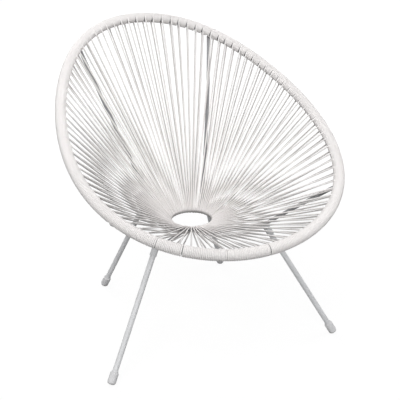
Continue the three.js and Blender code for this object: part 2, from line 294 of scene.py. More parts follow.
@dataclass(frozen=True)
class SeatLayout:
    """The hoop's egg and the ring below it, as the frame has them."""

    hoop_width: float = 0.720
    hoop_length: float = 0.934
    hoop_height: float = 0.578
    slope: float = math.radians(22.5)
    dip: float = 0.0092
    sweep: float = 0.0037
    egg_shares: Triple = (-0.195, 0.061, 0.0415)
    tube_radius: float = 0.010
    ring_radius: float = 0.064
    ring_height: float = 0.290
    ring_forward: float = 0.0152
    rod_radius: float = 0.005
    cord_radius: float = 0.002
    fit: float = 0.0003
    samples: int = 2880

    @property
    def on_tube(self) -> float:
        """Distance from the middle of the hoop's tube to the middle of cord wound on it."""
        return self.tube_radius + self.fit + self.cord_radius

    @property
    def on_rod(self) -> float:
        """Distance from the middle of the ring's rod to the middle of cord wound on it."""
        return self.rod_radius + self.fit + self.cord_radius

    @property
    def ring_centre(self) -> Array:
        """The point of the floor under the middle of the ring."""
        return np.array([0.0, self.centre_y() - self.ring_forward, 0.0])

    def egg(self, angle: Array) -> Array:
        """Half width of the egg at an angle: its sine times one plus shares of its cosine's powers."""
        powers = (share * np.cos(angle) ** power for power, share in enumerate(self.egg_shares, start=1))
        return np.sin(angle) * (1 + sum(powers))

    def outline(self, angle: Array, centre_y: float = 0.0) -> Array:
        """Centre line of the hoop at an angle: the egg on a slope, with a dip and a slight S.

        Args:
            angle: Angle round the hoop from its top.
            centre_y: Place of the hoop's middle, front to back.

        Returns:
            Points, in one more dimension than angle.
        """
        widest = self.egg(np.linspace(0, math.pi, self.samples // 2 + 1)).max()
        c = np.cos(angle)
        x = (self.hoop_width / 2 - self.on_tube - self.cord_radius) * self.egg(angle) / widest
        up_slope = self.hoop_length / 2 * c
        rise = -self.dip * c**2 - self.sweep * (c**3 - c)
        y = centre_y + up_slope * math.cos(self.slope) - rise * math.sin(self.slope)
        z = self.hoop_height + up_slope * math.sin(self.slope) + rise * math.cos(self.slope)
        return np.stack([x, y, z], axis=-1)

    def centre_y(self) -> float:
        """Place of the hoop's middle that centres the chair over the origin, front to back."""
        y = self.outline(np.linspace(0, TURN, self.samples + 1))[:, 1]
        return -(y.min() + y.max()) / 2

    def walk(self) -> tuple[Array, Array]:
        """Angles round the hoop, and the distance walked at each."""
        angle = np.linspace(0, TURN, self.samples + 1)
        return angle, path_length(self.outline(angle))

    def perimeter(self) -> float:
        """Length of the hoop's centre line."""
        return float(self.walk()[1][-1])

    def hoop_point(self, share: Array) -> Array:
        """Centre line of the hoop at a share of the way round."""
        angle, walked = self.walk()
        return self.outline(np.interp(np.mod(share, 1.0), walked / walked[-1], angle), self.centre_y())

    def ring_point(self, angle: Array) -> Array:
        """Centre line of the ring at an angle from its back."""
        around = np.stack([np.sin(angle), np.cos(angle), np.zeros(np.shape(angle))], axis=-1)
        return self.ring_centre + self.ring_radius * around + np.array([0.0, 0.0, self.ring_height])

    def seating(self, share: Array, ring_angle: Array | None = None) -> Seating:
        """Places and directions for cord at a share of the way round.

        The hoop's direction is taken between two points a small share apart. Lift is square to it
        and to the line from the hoop to the ring.

        Args:
            share: Shares of the way round the hoop.
            ring_angle: Angles at the ring, where they differ from the share's.

        Returns:
            The places and directions.
        """
        small = 1e-5
        natural = TURN * share
        angle = natural if ring_angle is None else ring_angle
        on_hoop = self.hoop_point(share)
        tangent = unit(self.hoop_point(share + small) - self.hoop_point(share - small))
        lift = unit(np.cross(tangent, unit(self.ring_point(natural) - on_hoop)))
        lift = lift * np.sign(lift[..., 2:])
        ring_tangent = np.stack([np.cos(angle), -np.sin(angle), 0 * angle], axis=-1)
        ring_lift = square_to(lift, ring_tangent)
        return Seating(on_hoop, lift, np.cross(tangent, lift), self.ring_point(angle), ring_lift,
                       np.cross(ring_tangent, ring_lift))


@dataclass(frozen=True)
class RibPair:
    """One pair of ribs, back or front, with its sockets, legs and foot caps."""

    name: str
    hoop_gap: int
    ring_angle: float
    corner_reach: float
    corner_height: float
    bend: float
    bow: Triple
    socket_share: float
    foot: tuple[float, float]

    @property
    def hoop_share(self) -> float:
        """Where the rib meets the hoop: midway between two strands."""
        return (self.hoop_gap + 0.5) / STATIONS


RIB_PAIRS = (
    RibPair("back", hoop_gap=8, ring_angle=math.radians(34.8), corner_reach=0.1225, corner_height=0.288,
            bend=0.050, bow=(0.013, 0.001, 0.022), socket_share=0.825, foot=(0.1921, 0.2192)),
    RibPair("front", hoop_gap=34, ring_angle=math.radians(134.0), corner_reach=0.186, corner_height=0.296,
            bend=0.045, bow=(0.0, 0.0, 0.003), socket_share=0.61, foot=(0.3201, -0.269)),
)


# Finishes


class Noise(NamedTuple):
    """Noise: its cells in a unit of the coordinate, its octaves and the strength of the finer ones."""

    scale: float
    detail: float = 3.0
    roughness: float = 0.5


class Ramp(NamedTuple):
    """A range of values and the range that it is taken to, beyond whose ends nothing goes."""

    low: Socket | float = 0.0
    high: Socket | float = 1.0
    to_low: Socket | float = 0.0
    to_high: Socket | float = 1.0


class Relief(NamedTuple):
    """A bump: its depth in metres and its strength."""

    depth: float
    strength: float


class NodeWork:
    """A node tree under construction, and short ways to add and join nodes."""

    def __init__(self, tree: bpy.types.NodeTree) -> None:
        """Empties the tree."""
        self.tree = tree
        self.tree.nodes.clear()

    def feed(self, node: bpy.types.Node, name: str | int, value: Value) -> None:
        """Links an output to an input of a node, or sets that input to a plain value.

        Args:
            node: The node.
            name: Name or number of its input.
            value: An output, a number or three of them. A colour of three is opaque.
        """
        socket = node.inputs[name]
        if isinstance(value, Socket):
            self.tree.links.new(value, socket)
        elif isinstance(value, tuple):
            socket.default_value = (*value, 1.0)[:len(socket.default_value)]
        else:
            socket.default_value = value

    def add(self, kind: str, inputs: dict[str | int, Value] | None = None,
            **settings: object) -> bpy.types.Node:
        """Adds a node.

        Args:
            kind: Blender's name for it.
            inputs: Outputs or plain values for its inputs.
            **settings: Its own properties.

        Returns:
            The node.
        """
        node = self.tree.nodes.new(kind)
        for name, setting in settings.items():
            setattr(node, name, setting)
        for name, value in (inputs or {}).items():
            self.feed(node, name, value)
        return node

    def noise(self, place: Socket, noise: Noise) -> Socket:
        """Adds noise that follows a coordinate, and returns its amount."""
        inputs = dict(zip(("Vector", "Scale", "Detail", "Roughness"), (place, *noise)))
        return self.add("ShaderNodeTexNoise", inputs).outputs[0]

    def spread(self, source: Socket, ramp: Ramp) -> Socket:
        """Takes a value from the ramp's one range to its other."""
        inputs = dict(zip(("Value", "From Min", "From Max", "To Min", "To Max"), (source, *ramp)))
        return self.add("ShaderNodeMapRange", inputs).outputs[0]

    def maths(self, operation: str, *values: Socket | float, clamp: bool = False) -> Socket:
        """Works out one of Blender's sums on outputs or numbers, held between 0 and 1 if clamp is set."""
        settings = {"operation": operation, "use_clamp": clamp}
        return self.add("ShaderNodeMath", dict(enumerate(values)), **settings).outputs[0]

    def tint(self, base: Value, colour: Triple, amount: Socket) -> Socket:
        """Blends from a base to a colour by an amount."""
        inputs = {"Factor": amount, "A": base, "B": colour}
        return self.add("ShaderNodeMix", inputs, data_type="RGBA").outputs["Result"]

    def bump(self, height: Socket, relief: Relief, **before: Socket) -> Socket:
        """Adds a bump, on top of the one before it, which is given as Normal."""
        inputs = {"Height": height, "Distance": relief.depth, "Strength": relief.strength, **before}
        return self.add("ShaderNodeBump", inputs).outputs[0]

    def seen(self) -> Socket:
        """Gives 1 to rays from the camera, and to glossy and clear ones, and 0 to others."""
        path = self.add("ShaderNodeLightPath").outputs
        camera_or_glossy = self.maths("ADD", path["Is Camera Ray"], path["Is Glossy Ray"], clamp=True)
        return self.maths("ADD", camera_or_glossy, path["Is Transmission Ray"], clamp=True)


class SurfaceWork(NodeWork):
    """A material under construction, with one shader."""

    def __init__(self, name: str, specular: float) -> None:
        """Starts a material with its shader, its output and its coordinates.

        Args:
            name: Name of the material.
            specular: Strength of its mirroring.
        """
        self.material = bpy.data.materials.new(name)
        self.material.use_nodes = True
        super().__init__(self.material.node_tree)
        self.shader = self.add("ShaderNodeBsdfPrincipled", {"Specular IOR Level": specular})
        self.add("ShaderNodeOutputMaterial", {"Surface": self.shader.outputs[0]})
        coordinates = self.add("ShaderNodeTexCoord").outputs
        self.place = coordinates["Object"]
        self.uv = coordinates["UV"]

    def finished(self, base: Triple, tints: tuple[tuple[Triple, Socket], ...], roughness: Socket,
                 normal: Socket) -> bpy.types.Material:
        """Joins what was worked out to the shader.

        Args:
            base: The colour below all tints.
            tints: Colours over it, each with its amount, the lowest first.
            roughness: How matt it is.
            normal: The bumped normal.

        Returns:
            The material.
        """
        colour = base
        for change, amount in tints:
            colour = self.tint(colour, change, amount)
        for name, value in (("Base Color", colour), ("Roughness", roughness), ("Normal", normal)):
            self.feed(self.shader, name, value)
        return self.material


@dataclass(frozen=True)
class CordFinish:
    """Round extruded plastic cord: warm white, half gloss, faint lines along it, a little grime and
    painted shade.
    """

    colour: Triple = (0.88, 0.855, 0.845)
    # Darker colour painted as shade, strongest on the strands under the upper layer
    layer_shade_colour: Triple = (0.66, 0.653, 0.65)
    deep: Triple = (0.74, 0.71, 0.70)
    # Painted shade on the side of the cord turned in
    inner: Triple = (0.52, 0.49, 0.475)
    # Painted shade inside the ring
    ring_shade_colour: Triple = (0.22, 0.21, 0.20)
    grime: Triple = (0.46, 0.43, 0.40)
    specular: float = 0.22
    line_scale: Triple = (9.0, 14.0, 1.0)
    line: Noise = Noise(1.0, 4.0, 0.6)
    batch: Noise = Noise(7.0, 2.0)
    dust: Noise = Noise(55.0, 5.0, 0.62)
    skin: Noise = Noise(900.0, 2.0)
    streaked: Ramp = Ramp(0.35, 0.7, 0.0, 0.55)
    shaded: Ramp = Ramp(0.35, 0.7, 0.0, 0.25)
    specked: Ramp = Ramp(0.6, 0.82, 0.0, 0.25)
    # How the painted shade grows towards the side turned in
    turned_in_shade: Ramp = Ramp(0.38, 0.12, 0.0, 0.4)
    roughness: Ramp = Ramp(0.3, 0.7, 0.50, 0.68)
    ridges: Relief = Relief(0.00012, 0.5)
    grain: Relief = Relief(0.00004, 0.4)

    def material(self) -> bpy.types.Material:
        """Builds the material on the cord's own texture coordinates and values.

        The second coordinate is 0 on the side turned out of the tube or the seat and a half on the
        side turned in, which is painted darker as shade. One point attribute says how much of a darker
        colour a point has: painted shade, strongest on the strands under the upper layer. The other
        says how much painted shade a point has inside the ring.

        Returns:
            The material.
        """
        work = SurfaceWork("corded_plastic", self.specular)
        drawn_out = work.add("ShaderNodeMapping", {"Vector": work.uv, "Scale": self.line_scale}).outputs[0]
        lines = work.noise(drawn_out, self.line)
        side = work.add("ShaderNodeSeparateXYZ", {"Vector": work.uv}).outputs["Y"]
        off_middle = work.maths("ABSOLUTE", work.maths("SUBTRACT", side, 0.5))
        stretch, in_ring = (work.add("ShaderNodeAttribute", attribute_name=name).outputs["Fac"]
                            for name in ("stretch", "in_ring"))
        tints = (
            # Painted shade: most on the lower strands, some on the hoop's winding and the upper strands
            (self.layer_shade_colour, stretch),
            (self.deep, work.spread(lines, self.streaked)),
            (self.deep, work.spread(work.noise(work.place, self.batch), self.shaded)),
            # Painted shade on the side of the cord turned in
            (self.inner, work.spread(off_middle, self.turned_in_shade)),
            # Painted shade inside the ring
            (self.ring_shade_colour, in_ring),
            (self.grime, work.spread(work.noise(work.place, self.dust), self.specked)),
        )
        ridges = work.bump(lines, self.ridges)
        skin = work.bump(work.noise(work.place, self.skin), self.grain, Normal=ridges)
        return work.finished(self.colour, tints, work.spread(lines, self.roughness), skin)


@dataclass(frozen=True)
class PaintFinish:
    """Powder coat on steel: cool light grey with a fine orange-peel skin and greyer, matter patches."""

    name: str = "frame_powder_coat"
    colour: Triple = (0.645, 0.65, 0.66)
    worn: Triple = (0.52, 0.52, 0.53)
    specular: float = 0.30
    cloud: Noise = Noise(22.0, 4.0, 0.55)
    scuff: Noise = Noise(140.0, 6.0, 0.7)
    peel: Noise = Noise(1100.0, 2.0)
    patched: Ramp = Ramp(0.4, 0.75, 0.0, 0.35)
    marked: Ramp = Ramp(0.62, 0.78, 0.0, 0.25)
    roughness: Ramp = Ramp(0.3, 0.7, 0.40, 0.60)
    grain: Relief = Relief(0.00005, 0.4)

    def material(self) -> bpy.types.Material:
        """Builds the material on object coordinates."""
        work = SurfaceWork(self.name, self.specular)
        cloud = work.noise(work.place, self.cloud)
        tints = ((self.worn, work.spread(cloud, self.patched)),
                 (self.worn, work.spread(work.noise(work.place, self.scuff), self.marked)))
        skin = work.bump(work.noise(work.place, self.peel), self.grain)
        return work.finished(self.colour, tints, work.spread(cloud, self.roughness), skin)


@dataclass(frozen=True)
class FootFinish:
    """Moulded plastic of the foot caps: matt, finely grained, darker and scuffed at the sole."""

    colour: Triple = (0.65, 0.65, 0.66)
    scuffed: Triple = (0.22, 0.21, 0.20)
    specular: float = 0.25
    cloud: Noise = Noise(45.0, 3.0)
    smear: Noise = Noise(160.0, 5.0, 0.65)
    moulded: Noise = Noise(1500.0, 3.0)
    near_floor: Ramp = Ramp(0.0, 0.011, 1.0, 0.0)
    shaded: Ramp = Ramp(0.35, 0.75, 0.0, 0.25)
    dirty: Ramp = Ramp(0.1, 0.55, 0.0, 0.85)
    roughness: Ramp = Ramp(0.3, 0.7, 0.52, 0.75)
    grain: Relief = Relief(0.0001, 0.6)

    def material(self) -> bpy.types.Material:
        """Builds the material on object coordinates, whose Z is the height above the floor."""
        work = SurfaceWork("foot_cap_plastic", self.specular)
        height = work.add("ShaderNodeSeparateXYZ", {"Vector": work.place}).outputs["Z"]
        smear = work.noise(work.place, self.smear)
        patchy = work.maths("MULTIPLY", work.spread(height, self.near_floor), smear)
        tints = ((self.scuffed, work.spread(work.noise(work.place, self.cloud), self.shaded)),
                 (self.scuffed, work.spread(patchy, self.dirty)))
        skin = work.bump(work.noise(work.place, self.moulded), self.grain)
        return work.finished(self.colour, tints, work.spread(smear, self.roughness), skin)


# The cord


class Run(NamedTuple):
    """A part of the cord's path through every station.

    Points and outward directions have the shape (stations, n, 3). The cord's radius, its painted
    layer shade and its painted shade inside the ring have the shape (stations, n).
    """

    points: Array
    outs: Array
    radius: Array
    stretch: Array
    in_ring: Array


@dataclass
class CordSeat:
    """The cord: wound on the hoop, strung to the ring and back at each station, wound on the ring.

    Rib parts are the parts of a turn between which it gives way to a rib. A seam is a share of the
    hoop and the gap there. The strands close up by a part of their half turn round the ring.
    """

    layout: SeatLayout
    finish: bpy.types.Material
    body: str
    lengths: int = 16
    stations: int = STATIONS
    turns: int = 640
    half_steps: int = 84
    sides: int = 10
    flatness: float = 0.99
    outer_advance_share: float = 0.1
    hook_turns: float = 22 / 360
    hook_reach: float = 0.010
    strand_points: int = 9
    ring_points: int = 13
    hook_points: int = 5
    slack: float = 0.0004
    wobble: float = 0.00006
    rib_room: float = 0.0078
    rib_fade: float = 0.030
    rib_parts: tuple[float, ...] = (0.40, 0.49, 0.70, 0.80)
    ring_reach_stations: float = 5.0
    closed_by: float = 0.45
    ring_ride: float = 0.0007
    strand_radius: float = 0.00205
    strand_ring_radius: float = 0.00168
    # Amounts of painted shade: on the hoop's winding, on the strands below the seat, along the strands
    # above it from ring to hoop, and inside the ring
    hoop_stretch: float = 0.50
    lower_stretch: float = 1.0
    upper_stretch: tuple[float, float] = (0.05, 0.85)
    in_ring_amount: float = 0.7
    seams: tuple[tuple[float, float], ...] = ((0.5935, 0.0012), (0.5700, 0.0023), (0.5310, 0.0007),
                                              (0.4900, 0.0026))
    seam_edge_turns: float = 0.4
    seam_fade_turns: float = 4.0
    nearest: float = 1e-6
    hair: float = 1e-9
    rng: np.random.Generator = field(default_factory=lambda: np.random.default_rng(7))

    def station_turns(self) -> Array:
        """Turn at which each station's strands leave, with one station more at either end."""
        return np.round(np.arange(-1, self.stations + 1) * self.turns / self.stations)[:, None]

    def rib_shares(self) -> Array:
        """Shares of the hoop at which the four ribs meet it."""
        shares = [pair.hoop_share for pair in RIB_PAIRS]
        return np.array(shares + [1 - share for share in shares])

    def hoop_share(self, turn: Array) -> Array:
        """Place along the hoop of a point of the winding.

        A turn goes one cord along the hoop, most of it on its inner side. Turns part round a rib's
        end, from the underside to the inner side, and a little at a seam.

        Args:
            turn: Turns wound so far. Whole numbers lie on the hoop's top.

        Returns:
            Shares of the way round.
        """
        whole = np.floor(turn + self.hair)
        part = turn - whole
        outer = self.outer_advance_share
        eased = np.where(part < 0.5, outer * 2 * part, outer + (1 - outer) * (2 * part - 1))
        share = (whole + eased) / self.turns
        length = self.layout.perimeter()
        under = smooth(np.interp(part, self.rib_parts, (0.0, 1.0, 1.0, 0.0)))
        for rib in self.rib_shares():
            away = wrapped(share - rib, 1.0) * length
            push = np.where(away < 0, -1.0, 1.0) * self.rib_room * np.exp(-np.abs(away) / self.rib_fade)
            share = share + under * push / length
        for seam, gap in self.seams:
            away = wrapped(share - seam, 1.0) * self.turns
            part_way = np.tanh(away / self.seam_edge_turns) * np.exp(-np.abs(away) / self.seam_fade_turns)
            share = share + gap / 2 * part_way / length
        return share

    def wound(self, turn: Array) -> tuple[Array, Array]:
        """Middle of the cord on the hoop after a number of turns, and the way out of the tube there.

        The cord goes down the outer side of the tube and up its inner side: its angle from lift
        to inward is minus one whole turn for each turn wound.

        Args:
            turn: Turns wound so far.

        Returns:
            The middles and the directions.
        """
        seat = self.layout.seating(self.hoop_share(turn))
        out = ray(-TURN * turn, seat.lift, seat.inward)
        return seat.on_hoop + self.layout.on_tube * out, out

    def ring_seats(self) -> tuple[Array, Array, Array]:
        """Where each station's cord lies on the ring.

        Under the ring a cord keeps clear of a rib's end, so its neighbours are pushed together over
        a few stations. There every second cord rides on top of the two beside it. On the ring's top
        all lie side by side.

        Returns:
            Angle on the ring's underside, angle on its top, and height above the first layer below,
            each with the shape (stations, 1).
        """
        number = np.arange(self.stations)[:, None]
        pitch = TURN / self.stations
        natural = number * pitch
        room = self.layout.on_rod / self.layout.ring_radius
        reach = self.ring_reach_stations * pitch
        below = natural.copy()
        crowded = np.zeros(number.shape, dtype=bool)
        for rib_angle in (side.value * pair.ring_angle for pair in RIB_PAIRS for side in Side):
            away = wrapped(natural - rib_angle, TURN)
            near = np.abs(away) < reach
            pushed = np.sign(away) * (room + np.abs(away) * (1 - room / reach))
            below = np.where(near, natural + pushed - away, below)
            crowded |= near
        spacing = (1 - room / reach) * pitch * self.layout.ring_radius
        step = math.sqrt(max((2 * self.layout.cord_radius) ** 2 - spacing**2, 0.0))
        return below, natural, np.where(crowded & (number % 2 == 1), step, 0.0)

    def run(self, points: Array, outs: Array, radius: Array | float, stretch: Array | float,
            in_ring: Array | float = 0.0) -> Run:
        """One part of the path. A direction or value that is given once holds at all its points."""
        values = (np.broadcast_to(value, points.shape[:2]) for value in (radius, stretch, in_ring))
        return Run(points, np.broadcast_to(outs, points.shape), *values)

    def on_ring(self, share: Array) -> Run:
        """The half turn round the ring, from its underside over its inner side to its top.

        A cord's height over the first layer shrinks, and its small ride over its neighbours grows,
        as the cords close up on the way to the ring's top.

        Args:
            share: Place of each station on the hoop.

        Returns:
            That part of the path.
        """
        below, above, height = self.ring_seats()
        t = np.linspace(0, 1, self.ring_points)
        closed = smooth(np.clip(t / self.closed_by, 0, 1))
        angle = mix(below, above, closed)
        ring = self.layout.seating(np.broadcast_to(share, angle.shape), angle)
        out = ray(math.pi * (1 - t), ring.ring_lift, ring.ring_inward)
        layer = height * (1 - closed)
        ride = np.abs(self.rng.normal(0, self.ring_ride, height.shape)) * closed
        points = ring.at_ring + (self.layout.on_rod + layer + ride)[..., None] * out
        # Painted shade inside the ring, strongest on the ring's inner side
        inside = self.in_ring_amount * np.sin(math.pi * t) ** 2
        return self.run(points, out, self.strand_ring_radius, 0.0, inside)

    def path(self) -> Run:
        """Path of the cord through every station.

        In order: the later half of the turns since the station before, a bend off the hoop's
        underside, the strand below the seat, half a turn round the ring, the strand above the
        seat, a bend on to the hoop's top, and half of the turns to the next station. Painted shade
        is laid least on the ring and most on the strand below the seat, under the upper layer.

        Returns:
            The whole path.
        """
        turns = self.station_turns()
        here = turns[1:-1]
        arrive, leave = here - 0.5 - self.hook_turns, here + self.hook_turns
        t = np.linspace(0, 1, self.half_steps)
        wind_in = self.wound(mix((turns[:-2] + here) / 2, arrive, t))
        wind_out = self.wound(mix(leave, (here + turns[2:]) / 2, t))
        low, low_out = self.wound(here - 0.5)
        top, top_out = self.wound(here)
        ring = self.on_ring(here / self.turns)
        first, last = ring.points[:, :1], ring.points[:, -1:]
        low_end = low + self.hook_reach * unit(first - low)
        top_end = top + self.hook_reach * unit(last - top)
        bend_low = bend(wind_in[0][:, -1:], low, low_end, self.hook_points)[:, 1:-1]
        bend_top = bend(top_end, top, wind_out[0][:, :1], self.hook_points)[:, 1:-1]
        t = np.linspace(0, 1, self.strand_points)[:, None]
        give_low, give_top = np.sin(math.pi * t) * self.rng.normal(0, self.slack, (2, self.stations, 1, 3))
        strand_low = mix(low_end, first, t) + give_low
        strand_top = mix(last, top_end, t) + give_top
        low_outs = mix(low_out, ring.outs[:, :1], t)
        top_outs = mix(ring.outs[:, -1:], top_out, t)
        thinning = np.linspace(self.strand_radius, self.strand_ring_radius, self.strand_points)[:-1]
        on_hoop = self.layout.cord_radius, self.hoop_stretch
        # Each run's last values give its painted shade: none on the ring, half on the hoop, full below the
        # seat
        runs = (
            self.run(*wind_in, *on_hoop),
            self.run(bend_low, low_out, *on_hoop),
            self.run(strand_low[:, :-1], low_outs[:, :-1], thinning, self.lower_stretch),
            ring,
            self.run(strand_top[:, 1:], top_outs[:, 1:], thinning[::-1],
                     np.linspace(*self.upper_stretch, self.strand_points - 1)),
            self.run(bend_top, top_out, *on_hoop),
            self.run(*wind_out, *on_hoop),
        )
        return Run(*(np.concatenate(parts, axis=1) for parts in zip(*runs)))

    def build(self) -> None:
        """Makes the lengths of cord, each in place of its solid.

        A length is a round carried along its stations' path, whose points stand a hair in or out.
        """
        path = self.path()
        wobble = self.rng.normal(0, self.wobble, path.points.shape[:2] + (1,))
        path = path._replace(points=path.points + wobble * path.outs)
        per_length = self.stations // self.lengths
        for number in range(self.lengths):
            chosen = slice(number * per_length, (number + 1) * per_length)
            length = Run(*(values[chosen].reshape(-1, *values.shape[2:]) for values in path))
            keep = np.append(True, np.linalg.norm(np.diff(length.points, axis=0), axis=1) > self.nearest)
            length = Run(*(values[keep] for values in length))
            wide = length.radius * self.flatness
            grid = sweep(length.points, length.outs, length.radius, wide, self.sides)
            piece = grid_mesh(f"wound_cord_{number + 1:02d}", grid, along=path_length(length.points))
            # Point attributes that carry the painted shade
            for name in ("stretch", "in_ring"):
                amount = getattr(length, name)
                values = np.append(np.repeat(amount, self.sides), amount[[0, -1]])
                layer = piece.data.attributes.new(name, "FLOAT", "POINT")
                layer.data.foreach_set("value", values.astype(np.float32))
            dress(piece, self.finish, self.body, f"seat_cord_{number + 1:02d}")


# The frame under the seat


@dataclass
class FrameCorner:
    """Rib, socket, leg and foot cap of one corner, round and smooth over the faceted solids.

    The cap's small edges are multiples of cap_fine. The mould line has a height and a width, and
    each ripple of a bead a depth and a length.
    """

    layout: SeatLayout
    pair: RibPair
    side: Side
    paint: bpy.types.Material
    # Paint darkened as painted shade, for the rib under the seat
    rib_paint: bpy.types.Material
    plastic: bpy.types.Material
    body: str
    rib_radius: float = 0.005
    rib_angle_on_tube: float = math.radians(20)
    rib_counts: tuple[int, int, int, int] = (160, 60, 40, 180)
    lap: float = 0.001
    bevel: float = 0.010
    bevel_fade: float = 0.025
    chamfer: float = 0.0006
    leg_radius: float = 0.00725
    leg_wall: float = 0.0015
    leg_edge: float = 0.0004
    leg_rows: int = 14
    leg_top_clear: float = 0.014
    socket_wall: float = 0.0014
    socket_reach: float = 0.034
    socket_edge: float = 0.0003
    cap_radius: float = 0.011
    cap_length: float = 0.032
    cap_edge: float = 0.0065
    cap_shoulder: float = 0.003
    cap_collar: float = 0.003
    cap_collar_wall: float = 0.0012
    cap_floor: float = 0.008
    cap_fine: float = 0.0001
    sole_cut: float = 0.0015
    mould_line: tuple[float, float] = (0.00018, 0.06)
    body_from: float = 0.97
    bead_radius: float = 0.0013
    bead_span: float = 0.96
    bead_steps: int = 48
    bead_sides: int = 10
    bead_ripples: tuple[tuple[float, float], ...] = ((0.16, 0.0011), (0.1, 0.0027))
    bead_blunt: float = 0.15
    sides: int = 32
    rib_sides: int = 20

    @property
    def suffix(self) -> str:
        """The corner's name, as the solids have it."""
        return f"{self.pair.name}_{self.side.name.lower()}"

    def hoop_seat(self) -> Seating:
        """Places and directions where the rib meets the hoop."""
        return self.layout.seating(np.array(self.side.value * self.pair.hoop_share))

    def rib_path(self) -> Array:
        """Centre line of the rib: from its weld under the hoop, a bow, a bend and a run under the ring.

        Returns:
            Evenly spread points with the shape (n, 3).
        """
        lay, pair, sign = self.layout, self.pair, self.side.value
        seat, angle = self.hoop_seat(), self.rib_angle_on_tube
        to_weld = math.sin(angle) * seat.inward - math.cos(angle) * seat.lift
        top = seat.on_hoop + to_weld * (lay.tube_radius + lay.fit + self.rib_radius)
        outward = np.array([sign * math.sin(pair.ring_angle), math.cos(pair.ring_angle), 0.0])
        corner = lay.ring_centre + outward * pair.corner_reach + np.array([0, 0, pair.corner_height])
        under = lay.ring_height - lay.rod_radius - lay.fit - self.rib_radius
        end = lay.ring_centre + outward * lay.ring_radius + np.array([0, 0, under])
        middle = (top + corner) / 2 + np.array(pair.bow) * np.array([sign, 1, 1])
        bend_start = corner + unit(middle - corner) * pair.bend
        bend_end = corner + unit(end - corner) * min(pair.bend, np.linalg.norm(end - corner) / 2)
        bow_count, bend_count, run_count, even_count = self.rib_counts
        run_share = np.linspace(0, 1, run_count)[:, None]
        rough = np.concatenate([
            bend(top - unit(middle - top) * self.lap, middle, bend_start, bow_count)[:-1],
            bend(bend_start, corner, bend_end, bend_count)[:-1],
            mix(bend_end, end + unit(end - corner) * self.lap, run_share),
        ])
        along = path_length(rough)
        even = np.linspace(0, along[-1], even_count)
        return np.stack([np.interp(even, along, rough[:, axis]) for axis in range(3)], axis=-1)

    def joint(self) -> Array:
        """Where the leg's line meets the rib's."""
        path = self.rib_path()
        below, part = divmod(self.pair.socket_share * (len(path) - 1), 1)
        return mix(path[int(below)], path[int(below) + 1], part)

    def foot(self) -> Array:
        """Where the leg's line meets the floor."""
        x, y = self.pair.foot
        return np.array([self.side.value * x, self.layout.centre_y() + y, 0.0])

    def up(self) -> Array:
        """Direction of the leg, from its foot to the rib."""
        return unit(self.joint() - self.foot())

    def bead(self, path: Array) -> bpy.types.Object:
        """A weld bead along a path: a round whose thickness comes and goes in small ripples.

        Args:
            path: Its middle line.

        Returns:
            The bead.
        """
        along = path_length(path)
        ripple = 1 + sum(depth * np.sin(along / length) for depth, length in self.bead_ripples)
        from_end = np.minimum(along, along[-1] - along) / self.bead_radius
        thick = self.bead_radius * ripple * np.sin(np.clip(from_end, self.bead_blunt, math.pi / 2))
        nearly_up = np.array([0.01, 0.01, 1.01])
        return grid_mesh("socket_bead", sweep(path, nearly_up, thick, thick, self.bead_sides))

    def rib(self) -> bpy.types.Object:
        """The rib: a round rod along its path, with broken edges at its ends, which are cut slantwise.

        The long side of a slant lies against the tube that carries the rib. The cut moves a point
        back from the end by the bevel, times the point's part of the way from that side to the
        other, less and less over the first part of the rod.

        Returns:
            The rib.
        """
        path = self.rib_path()
        lead = unit(path[1] - path[0]) * self.chamfer
        trail = unit(path[-1] - path[-2]) * self.chamfer
        path = np.concatenate([path[:1], path[:1] + lead, path[1:-1], path[-1:] - trail, path[-1:]])
        radius = np.full(len(path), self.rib_radius)
        radius[[0, -1]] -= self.chamfer
        middle = path[len(path) // 2]
        plane = unit(np.cross(path[0] - middle, path[-1] - middle))
        grid = sweep(path, plane, radius, radius, self.rib_sides)
        along = path_length(path)
        tangent = unit(np.gradient(path, axis=0))
        offset = grid - path[:, None]
        ends = ((0, 1, path[0] - self.hoop_seat().on_hoop, along),
                (-1, -1, np.array([0.0, 0.0, -1.0]), along[-1] - along))
        for end, sign, away, from_end in ends:
            outward = square_to(away, tangent[end])
            part = (offset @ outward / self.rib_radius + 1) / 2
            fade = np.clip(1 - from_end / self.bevel_fade, 0, 1)[:, None]
            grid = grid + sign * self.bevel * (part * fade)[..., None] * tangent[:, None]
        return grid_mesh(f"bent_rib_{self.suffix}", grid, along=along)

    def socket(self) -> bpy.types.Object:
        """The socket: a tube whose upper edge is cut to sit on the rib, with a bead along the cut.

        The cut's depth below the rib's middle, at each point round the tube, is the height of the
        rib's own round there: the root of its radius squared less the distance across it squared.

        Returns:
            The socket with its beads.
        """
        joint, down = self.joint(), -self.up()
        path = self.rib_path()
        nearest = round(self.pair.socket_share * (len(path) - 1))
        along = square_to(unit(path[nearest + 1] - path[nearest - 1]), down)
        across = np.cross(down, along)
        inner = self.leg_radius + self.layout.fit
        outer = inner + self.socket_wall
        room = self.rib_radius + self.layout.fit
        edge = self.socket_edge

        def row(radius: float, share: float, angle: Array) -> Array:
            """Points round the tube at a radius, a share of the way from the cut to the mouth."""
            cut = np.sqrt(np.maximum(room**2 - (radius * np.sin(angle)) ** 2, 0))
            depth = mix(cut, self.socket_reach, share)
            return joint + radius * ray(angle, along, across) + depth[:, None] * down

        profile = ((inner, 0.0), (inner, 0.5), (inner, 0.97), (inner + edge, 1.0), (outer - edge, 1.0),
                   (outer, 0.985), (outer, 0.5), (outer, 0.02), (outer - edge, 0.0))
        grid = np.stack([row(radius, share, full_turn(self.sides * 2)) for radius, share in profile])
        tube = grid_mesh("socket_tube", grid, rows_closed=True)
        limit = math.asin(room / outer) * self.bead_span
        spans = (np.linspace(middle - limit, middle + limit, self.bead_steps) for middle in (0.0, math.pi))
        beads = [self.bead(row(outer, 0.0, span)) for span in spans]
        return joined(f"welded_socket_{self.suffix}", [tube, *beads])

